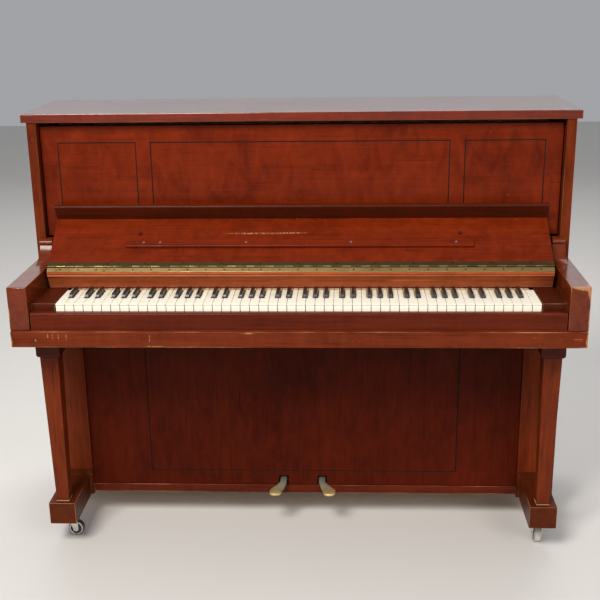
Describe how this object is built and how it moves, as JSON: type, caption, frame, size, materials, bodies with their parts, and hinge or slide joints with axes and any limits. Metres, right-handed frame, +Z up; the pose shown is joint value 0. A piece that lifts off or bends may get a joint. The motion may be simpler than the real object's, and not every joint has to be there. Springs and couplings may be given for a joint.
{
  "type": "upright piano",
  "caption": "Studio upright piano with an open fold-back fallboard, full keyboard, two pedals, tapered front legs on toe blocks, casters, and its action, plate and strings inside.",
  "frame": {"origin": "on the floor, under the centre of the piano's outline", "axes": "+X to the right as the player sees it, +Y towards the back, +Z up"},
  "size_m": [1.476, 0.65, 1.185],
  "materials": {
    "mahogany": "gloss lacquer, reddish brown, figured",
    "mahogany_worn": "satin lacquer, worn at the edges",
    "white_key": "cream key covering on spruce",
    "black_key": "satin black key on spruce",
    "key_wood": "planed spruce",
    "soundboard_wood": "varnished spruce",
    "brass": "aged brass",
    "gilt_iron": "bronze painted cast iron",
    "steel": "plain steel",
    "caster_metal": "dull plated steel",
    "felt": "hammer felt",
    "rubber": "dark red rubber"
  },
  "bodies": {
    "case": {"action_frame": "key_wood", "arms": "mahogany_worn", "back_frame": "key_wood", "bottom_board": "key_wood", "bottom_rail": "mahogany_worn", "bridges": "soundboard_wood", "fallboard_hinge_fixed_leaf": "brass", "front_legs": "mahogany_worn", "iron_plate": "gilt_iron", "key_bed": "key_wood", "key_bed_rail": "mahogany_worn", "key_blocks": "mahogany", "key_frame": "key_wood", "key_slip": "mahogany", "lid_hinge_fixed_leaf": "brass", "lower_stiles": "mahogany", "nameboard": "mahogany", "pedal_brackets": "steel", "pin_block": "key_wood", "rear_caster_forks": "caster_metal", "side_panel_left": "mahogany", "side_panel_right": "mahogany", "soundboard": "soundboard_wood", "soundboard_ribs": "soundboard_wood", "strings": "steel", "toe_blocks": "mahogany_worn", "tuning_pins": "steel", "upper_front_panel": "mahogany", "whippens": "key_wood"},
    "lid": {"top_lid": "mahogany", "lid_hinge_moving_leaf": "brass"},
    "fallboard": {"fallboard": "mahogany", "music_ledge": "mahogany", "fallboard_buttons": "rubber", "fallboard_hinge_moving_leaf": "brass"},
    "lower_panel": {"lower_front_panel": "mahogany"},
    "pedal_left": {"pedal_left": "brass"},
    "pedal_right": {"pedal_right": "brass"},
    "dowel_left": {"pedal_dowel_left": "key_wood"},
    "dowel_right": {"pedal_dowel_right": "key_wood"},
    "hammers": {"hammers": "felt", "hammer_rail": "key_wood"},
    "dampers": {"dampers": "felt"},
    "caster_fork_left": {"caster_fork_left": "caster_metal"},
    "caster_wheel_left": {"caster_wheel_left": "caster_metal"},
    "caster_fork_right": {"caster_fork_right": "caster_metal"},
    "caster_wheel_right": {"caster_wheel_right": "caster_metal"},
    "rear_wheels": {"rear_caster_wheels": "caster_metal"},
    "keys_c": {"keys_c": "white_key"},
    "keys_c_sharp": {"keys_c_sharp": "black_key"},
    "keys_d": {"keys_d": "white_key"},
    "keys_d_sharp": {"keys_d_sharp": "black_key"},
    "keys_e": {"keys_e": "white_key"},
    "keys_f": {"keys_f": "white_key"},
    "keys_f_sharp": {"keys_f_sharp": "black_key"},
    "keys_g": {"keys_g": "white_key"},
    "keys_g_sharp": {"keys_g_sharp": "black_key"},
    "keys_a": {"keys_a": "white_key"},
    "keys_a_sharp": {"keys_a_sharp": "black_key"},
    "keys_b": {"keys_b": "white_key"}
  },
  "joints": [
    {"name": "lid_hinge", "type": "hinge", "parent": "case", "child": "lid", "pos_m": [0, 0.3152, 1.159], "axis": [-1, 0, 0], "range_deg": [0, 95]},
    {"name": "fallboard_hinge", "type": "hinge", "parent": "case", "child": "fallboard", "pos_m": [0, -0.156, 0.8015], "axis": [1, 0, 0], "range_deg": [0, 155]},
    {"name": "lower_panel_tilt", "type": "hinge", "parent": "case", "child": "lower_panel", "pos_m": [0, -0.043, 0.112], "axis": [1, 0, 0], "range_deg": [0, 25]},
    {"name": "pedal_left_press", "type": "hinge", "parent": "case", "child": "pedal_left", "pos_m": [-0.056, 0.011, 0.127], "axis": [1, 0, 0], "range_deg": [0, 9], "stiffness_Nm_per_rad": 20, "springref_deg": -8.59},
    {"name": "dowel_left_lift", "type": "slide", "parent": "case", "child": "dowel_left", "axis": [0, 0, 1], "range_m": [0, 0.0218]},
    {"name": "pedal_right_press", "type": "hinge", "parent": "case", "child": "pedal_right", "pos_m": [0.056, 0.011, 0.127], "axis": [1, 0, 0], "range_deg": [0, 9], "stiffness_Nm_per_rad": 20, "springref_deg": -8.59},
    {"name": "dowel_right_lift", "type": "slide", "parent": "case", "child": "dowel_right", "axis": [0, 0, 1], "range_m": [0, 0.0218]},
    {"name": "hammer_rail_swing", "type": "hinge", "parent": "case", "child": "hammers", "pos_m": [0, 0.104, 0.904], "axis": [-1, 0, 0], "range_deg": [0, 9]},
    {"name": "damper_lift", "type": "hinge", "parent": "case", "child": "dampers", "pos_m": [0, 0.134, 0.872], "axis": [1, 0, 0], "range_deg": [0, 4.6]},
    {"name": "keys_c_press", "type": "hinge", "parent": "case", "child": "keys_c", "pos_m": [0, -0.074, 0.717], "axis": [1, 0, 0], "range_deg": [0, 2.6], "stiffness_Nm_per_rad": 3, "springref_deg": -14.32},
    {"name": "keys_c_sharp_press", "type": "hinge", "parent": "case", "child": "keys_c_sharp", "pos_m": [0, -0.074, 0.717], "axis": [1, 0, 0], "range_deg": [0, 2.6], "stiffness_Nm_per_rad": 3, "springref_deg": -14.32},
    {"name": "keys_d_press", "type": "hinge", "parent": "case", "child": "keys_d", "pos_m": [0, -0.074, 0.717], "axis": [1, 0, 0], "range_deg": [0, 2.6], "stiffness_Nm_per_rad": 3, "springref_deg": -14.32},
    {"name": "keys_d_sharp_press", "type": "hinge", "parent": "case", "child": "keys_d_sharp", "pos_m": [0, -0.074, 0.717], "axis": [1, 0, 0], "range_deg": [0, 2.6], "stiffness_Nm_per_rad": 3, "springref_deg": -14.32},
    {"name": "keys_e_press", "type": "hinge", "parent": "case", "child": "keys_e", "pos_m": [0, -0.074, 0.717], "axis": [1, 0, 0], "range_deg": [0, 2.6], "stiffness_Nm_per_rad": 3, "springref_deg": -14.32},
    {"name": "keys_f_press", "type": "hinge", "parent": "case", "child": "keys_f", "pos_m": [0, -0.074, 0.717], "axis": [1, 0, 0], "range_deg": [0, 2.6], "stiffness_Nm_per_rad": 3, "springref_deg": -14.32},
    {"name": "keys_f_sharp_press", "type": "hinge", "parent": "case", "child": "keys_f_sharp", "pos_m": [0, -0.074, 0.717], "axis": [1, 0, 0], "range_deg": [0, 2.6], "stiffness_Nm_per_rad": 3, "springref_deg": -14.32},
    {"name": "keys_g_press", "type": "hinge", "parent": "case", "child": "keys_g", "pos_m": [0, -0.074, 0.717], "axis": [1, 0, 0], "range_deg": [0, 2.6], "stiffness_Nm_per_rad": 3, "springref_deg": -14.32},
    {"name": "keys_g_sharp_press", "type": "hinge", "parent": "case", "child": "keys_g_sharp", "pos_m": [0, -0.074, 0.717], "axis": [1, 0, 0], "range_deg": [0, 2.6], "stiffness_Nm_per_rad": 3, "springref_deg": -14.32},
    {"name": "keys_a_press", "type": "hinge", "parent": "case", "child": "keys_a", "pos_m": [0, -0.074, 0.717], "axis": [1, 0, 0], "range_deg": [0, 2.6], "stiffness_Nm_per_rad": 3, "springref_deg": -14.32},
    {"name": "keys_a_sharp_press", "type": "hinge", "parent": "case", "child": "keys_a_sharp", "pos_m": [0, -0.074, 0.717], "axis": [1, 0, 0], "range_deg": [0, 2.6], "stiffness_Nm_per_rad": 3, "springref_deg": -14.32},
    {"name": "keys_b_press", "type": "hinge", "parent": "case", "child": "keys_b", "pos_m": [0, -0.074, 0.717], "axis": [1, 0, 0], "range_deg": [0, 2.6], "stiffness_Nm_per_rad": 3, "springref_deg": -14.32},
    {"name": "caster_left_swivel", "type": "hinge", "parent": "case", "child": "caster_fork_left", "pos_m": [-0.662, -0.145, 0.079], "axis": [0, 0, 1], "continuous": true},
    {"name": "caster_left_roll", "type": "hinge", "parent": "caster_fork_left", "child": "caster_wheel_left", "pos_m": [-0.65, -0.145, 0.0225], "axis": [0, 1, 0], "continuous": true},
    {"name": "caster_right_swivel", "type": "hinge", "parent": "case", "child": "caster_fork_right", "pos_m": [0.662, -0.145, 0.079], "axis": [0, 0, 1], "continuous": true},
    {"name": "caster_right_roll", "type": "hinge", "parent": "caster_fork_right", "child": "caster_wheel_right", "pos_m": [0.662, -0.157, 0.0225], "axis": [1, 0, 0], "continuous": true},
    {"name": "rear_roll", "type": "hinge", "parent": "case", "child": "rear_wheels", "pos_m": [0, 0.251, 0.0225], "axis": [1, 0, 0], "continuous": true}
  ],
  "couplings": [
    {"joint": "dowel_left_lift", "follows": "pedal_left_press", "m_per_rad": 0.138},
    {"joint": "dowel_right_lift", "follows": "pedal_right_press", "m_per_rad": 0.138},
    {"joint": "hammer_rail_swing", "follows": "pedal_left_press", "ratio": 1},
    {"joint": "damper_lift", "follows": "pedal_right_press", "ratio": 0.5}
  ]
}
